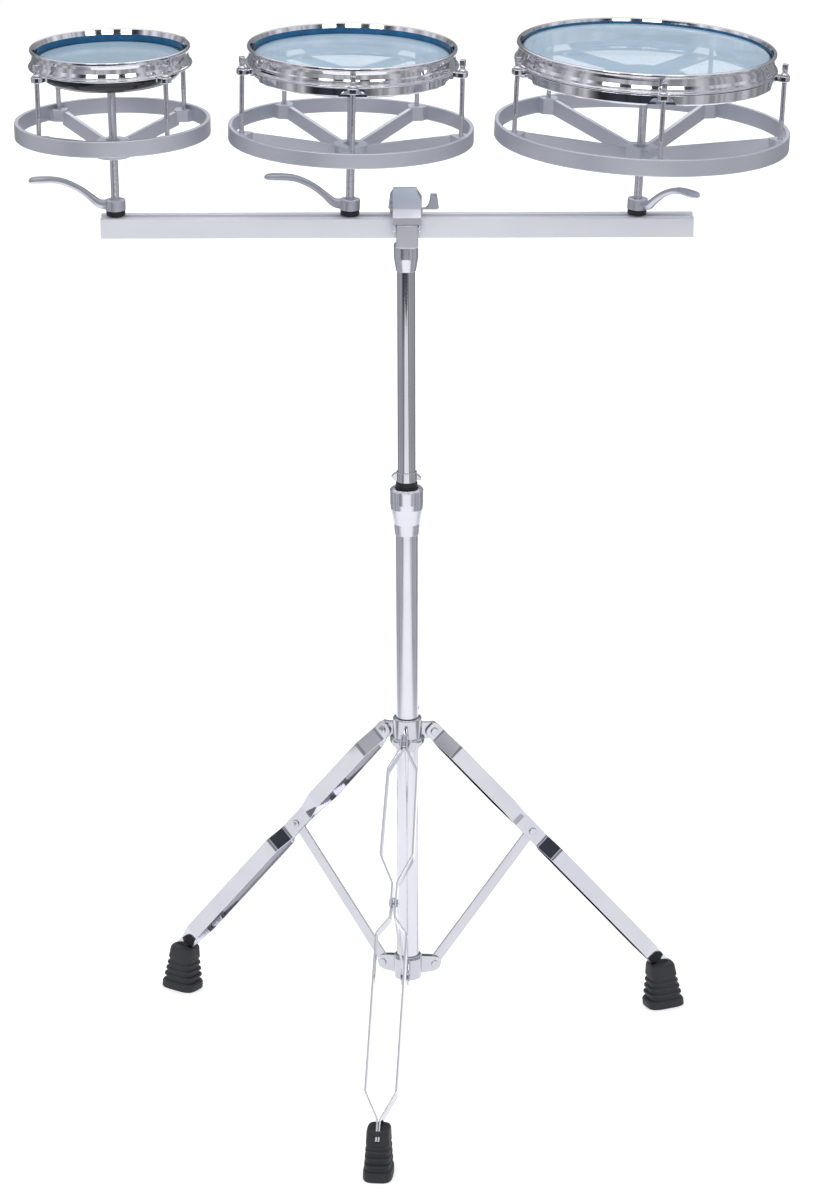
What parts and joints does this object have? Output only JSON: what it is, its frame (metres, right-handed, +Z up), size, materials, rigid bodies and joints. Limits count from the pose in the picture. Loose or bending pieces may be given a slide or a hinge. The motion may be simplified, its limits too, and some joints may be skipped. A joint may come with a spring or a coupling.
{
  "type": "rototom set",
  "caption": "Shell-less frame drums, each tuned by turning it on its threaded spindle, clamped along a slotted rail on a telescoping double-braced tripod.",
  "frame": {"origin": "on the floor, under the middle of the set's bounding box as seen from above", "axes": "+Z up; +X along the rail towards the largest drum; +Y from the single front leg's side towards the back"},
  "size_m": [0.7938, 0.539, 1.1221],
  "materials": {
    "chrome": "bright chrome plate",
    "cast_aluminium": "satin cast",
    "rail_aluminium": "satin anodised",
    "steel": "plated, semi-bright",
    "nylon": "satin",
    "rubber": "matte",
    "film": "clear pale blue film"
  },
  "bodies": {
    "stand": {"lower_tube": "chrome", "brace_bracket": "chrome", "height_clamp": "chrome", "clamp_bushing": "nylon"},
    "height_screw": {"height_wing_screw": "chrome"},
    "memory_ring": {"memory_lock": "chrome"},
    "mast": {"upper_tube": "chrome", "rail_clamp_base": "cast_aluminium"},
    "jaw": {"rail_clamp_jaw": "cast_aluminium"},
    "clamp_screw": {"rail_clamp_wing_screw": "steel"},
    "rail": {"rail": "rail_aluminium"},
    "collar": {"leg_collar": "chrome"},
    "collar_screw": {"collar_wing_screw": "chrome"},
    "leg_front": {"leg_front_pinned_strip": "chrome", "leg_front_holed_strip": "chrome", "foot_front": "rubber"},
    "brace_front": {"brace_front": "chrome"},
    "leg_right": {"leg_right_pinned_strip": "chrome", "leg_right_holed_strip": "chrome", "foot_right": "rubber"},
    "brace_right": {"brace_right": "chrome"},
    "leg_left": {"leg_left_pinned_strip": "chrome", "leg_left_holed_strip": "chrome", "foot_left": "rubber"},
    "brace_left": {"brace_left": "chrome"},
    "slider_6in": {"spindle_6in": "steel", "washer_6in": "nylon"},
    "lever_6in": {"lever_6in": "cast_aluminium"},
    "upper_6in": {"upper_frame_6in": "chrome"},
    "drum_6in": {"lower_frame_6in": "cast_aluminium", "head_6in": "film", "hoop_6in": "chrome", "tension_rod_6in_1": "steel", "tension_rod_6in_2": "steel", "tension_rod_6in_3": "steel", "tension_rod_6in_4": "steel"},
    "slider_8in": {"spindle_8in": "steel", "washer_8in": "nylon"},
    "lever_8in": {"lever_8in": "cast_aluminium"},
    "upper_8in": {"upper_frame_8in": "chrome"},
    "drum_8in": {"lower_frame_8in": "cast_aluminium", "head_8in": "film", "hoop_8in": "chrome", "tension_rod_8in_1": "steel", "tension_rod_8in_2": "steel", "tension_rod_8in_3": "steel", "tension_rod_8in_4": "steel", "tension_rod_8in_5": "steel"},
    "slider_10in": {"spindle_10in": "steel", "washer_10in": "nylon"},
    "lever_10in": {"lever_10in": "cast_aluminium"},
    "upper_10in": {"upper_frame_10in": "chrome"},
    "drum_10in": {"lower_frame_10in": "cast_aluminium", "head_10in": "film", "hoop_10in": "chrome", "tension_rod_10in_1": "steel", "tension_rod_10in_2": "steel", "tension_rod_10in_3": "steel", "tension_rod_10in_4": "steel", "tension_rod_10in_5": "steel"}
  },
  "joints": [
    {"name": "height_screw_turn", "type": "hinge", "parent": "stand", "child": "height_screw", "pos_m": [0.00369, 0.09414, 0.632], "axis": [0, 1, 0], "range_deg": [0, 1080]},
    {"name": "height_slide", "type": "slide", "parent": "stand", "child": "memory_ring", "axis": [0, 0, 1], "range_m": [0, 0.2]},
    {"name": "mast_swivel", "type": "hinge", "parent": "memory_ring", "child": "mast", "pos_m": [0.00369, 0.06414, 0.88], "axis": [0, 0, 1], "continuous": true},
    {"name": "jaw_hinge", "type": "hinge", "parent": "mast", "child": "jaw", "pos_m": [0.00369, 0.04524, 0.9294], "axis": [1, 0, 0], "range_deg": [0, 6]},
    {"name": "clamp_screw_turn", "type": "hinge", "parent": "jaw", "child": "clamp_screw", "pos_m": [0.01159, 0.11014, 0.935], "axis": [0, 0, 1], "range_deg": [0, 1440]},
    {"name": "rail_slide", "type": "slide", "parent": "mast", "child": "rail", "axis": [1, 0, 0], "range_m": [-0.1, 0.01]},
    {"name": "tripod_fold", "type": "slide", "parent": "stand", "child": "collar", "axis": [0, 0, 1], "range_m": [0, 0.0868]},
    {"name": "collar_screw_turn", "type": "hinge", "parent": "collar", "child": "collar_screw", "pos_m": [0.00664, 0.09399, 0.379], "axis": [0.0985, 0.9951, 0], "range_deg": [0, 1080]},
    {"name": "leg_front_hinge", "type": "hinge", "parent": "collar", "child": "leg_front", "pos_m": [0.00073, 0.03428, 0.369], "axis": [0.9951, -0.0985, 0], "range_deg": [0, 36.22]},
    {"name": "brace_front_hinge", "type": "hinge", "parent": "leg_front", "child": "brace_front", "pos_m": [-0.01083, -0.08258, 0.23457], "axis": [-0.9951, 0.0985, 0], "range_deg": [0, 72.44]},
    {"name": "leg_right_hinge", "type": "hinge", "parent": "collar", "child": "leg_right", "pos_m": [0.03102, 0.07651, 0.369], "axis": [-0.4123, 0.911, 0], "range_deg": [0, 36.22]},
    {"name": "brace_right_hinge", "type": "hinge", "parent": "leg_right", "child": "brace_right", "pos_m": [0.13801, 0.12493, 0.23457], "axis": [0.4123, -0.911, 0], "range_deg": [0, 72.44]},
    {"name": "leg_left_hinge", "type": "hinge", "parent": "collar", "child": "leg_left", "pos_m": [-0.02069, 0.08162, 0.369], "axis": [-0.5828, -0.8126, 0], "range_deg": [0, 36.22]},
    {"name": "brace_left_hinge", "type": "hinge", "parent": "leg_left", "child": "brace_left", "pos_m": [-0.11612, 0.15007, 0.23457], "axis": [0.5828, 0.8126, 0], "range_deg": [0, 72.44]},
    {"name": "station_6in", "type": "slide", "parent": "rail", "child": "slider_6in", "axis": [1, 0, 0], "range_m": [-0.005, 0.007]},
    {"name": "lever_6in_swing", "type": "hinge", "parent": "slider_6in", "child": "lever_6in", "pos_m": [-0.29481, 0.06414, 0.9386], "axis": [-0.0157, 0, 0.9999], "range_deg": [0, 110]},
    {"name": "drum_6in_turn", "type": "hinge", "parent": "slider_6in", "child": "upper_6in", "pos_m": [-0.29481, 0.06414, 0.9386], "axis": [-0.0157, 0, 0.9999], "range_deg": [0, 360]},
    {"name": "tune_6in", "type": "slide", "parent": "upper_6in", "child": "drum_6in", "axis": [-0.0157, 0, 0.9999], "range_m": [0, 0.0015]},
    {"name": "station_8in", "type": "slide", "parent": "rail", "child": "slider_8in", "axis": [1, 0, 0], "range_m": [-0.008, 0.008]},
    {"name": "lever_8in_swing", "type": "hinge", "parent": "slider_8in", "child": "lever_8in", "pos_m": [-0.05411, 0.06414, 0.9386], "axis": [0.0209, 0, 0.9998], "range_deg": [0, 110]},
    {"name": "drum_8in_turn", "type": "hinge", "parent": "slider_8in", "child": "upper_8in", "pos_m": [-0.05411, 0.06414, 0.9386], "axis": [0.0209, 0, 0.9998], "range_deg": [0, 360]},
    {"name": "tune_8in", "type": "slide", "parent": "upper_8in", "child": "drum_8in", "axis": [0.0209, 0, 0.9998], "range_m": [0, 0.0015]},
    {"name": "station_10in", "type": "slide", "parent": "rail", "child": "slider_10in", "axis": [1, 0, 0], "range_m": [-0.008, 0.04]},
    {"name": "lever_10in_swing", "type": "hinge", "parent": "slider_10in", "child": "lever_10in", "pos_m": [0.24129, 0.06414, 0.9386], "axis": [0.0471, 0, 0.9989], "range_deg": [0, 110]},
    {"name": "drum_10in_turn", "type": "hinge", "parent": "slider_10in", "child": "upper_10in", "pos_m": [0.24129, 0.06414, 0.9386], "axis": [0.0471, 0, 0.9989], "range_deg": [0, 360]},
    {"name": "tune_10in", "type": "slide", "parent": "upper_10in", "child": "drum_10in", "axis": [0.0471, 0, 0.9989], "range_m": [0, 0.0015]}
  ],
  "couplings": [
    {"joint": "jaw_hinge", "follows": "clamp_screw_turn", "ratio": 0.0041667},
    {"joint": "leg_front_hinge", "follows": "tripod_fold", "rad_per_m": 7.273},
    {"joint": "brace_front_hinge", "follows": "tripod_fold", "rad_per_m": 14.546},
    {"joint": "leg_right_hinge", "follows": "tripod_fold", "rad_per_m": 7.273},
    {"joint": "brace_right_hinge", "follows": "tripod_fold", "rad_per_m": 14.546},
    {"joint": "leg_left_hinge", "follows": "tripod_fold", "rad_per_m": 7.273},
    {"joint": "brace_left_hinge", "follows": "tripod_fold", "rad_per_m": 14.546},
    {"joint": "tune_6in", "follows": "drum_6in_turn", "m_per_rad": 0.00023873},
    {"joint": "tune_8in", "follows": "drum_8in_turn", "m_per_rad": 0.00023873},
    {"joint": "tune_10in", "follows": "drum_10in_turn", "m_per_rad": 0.00023873}
  ]
}
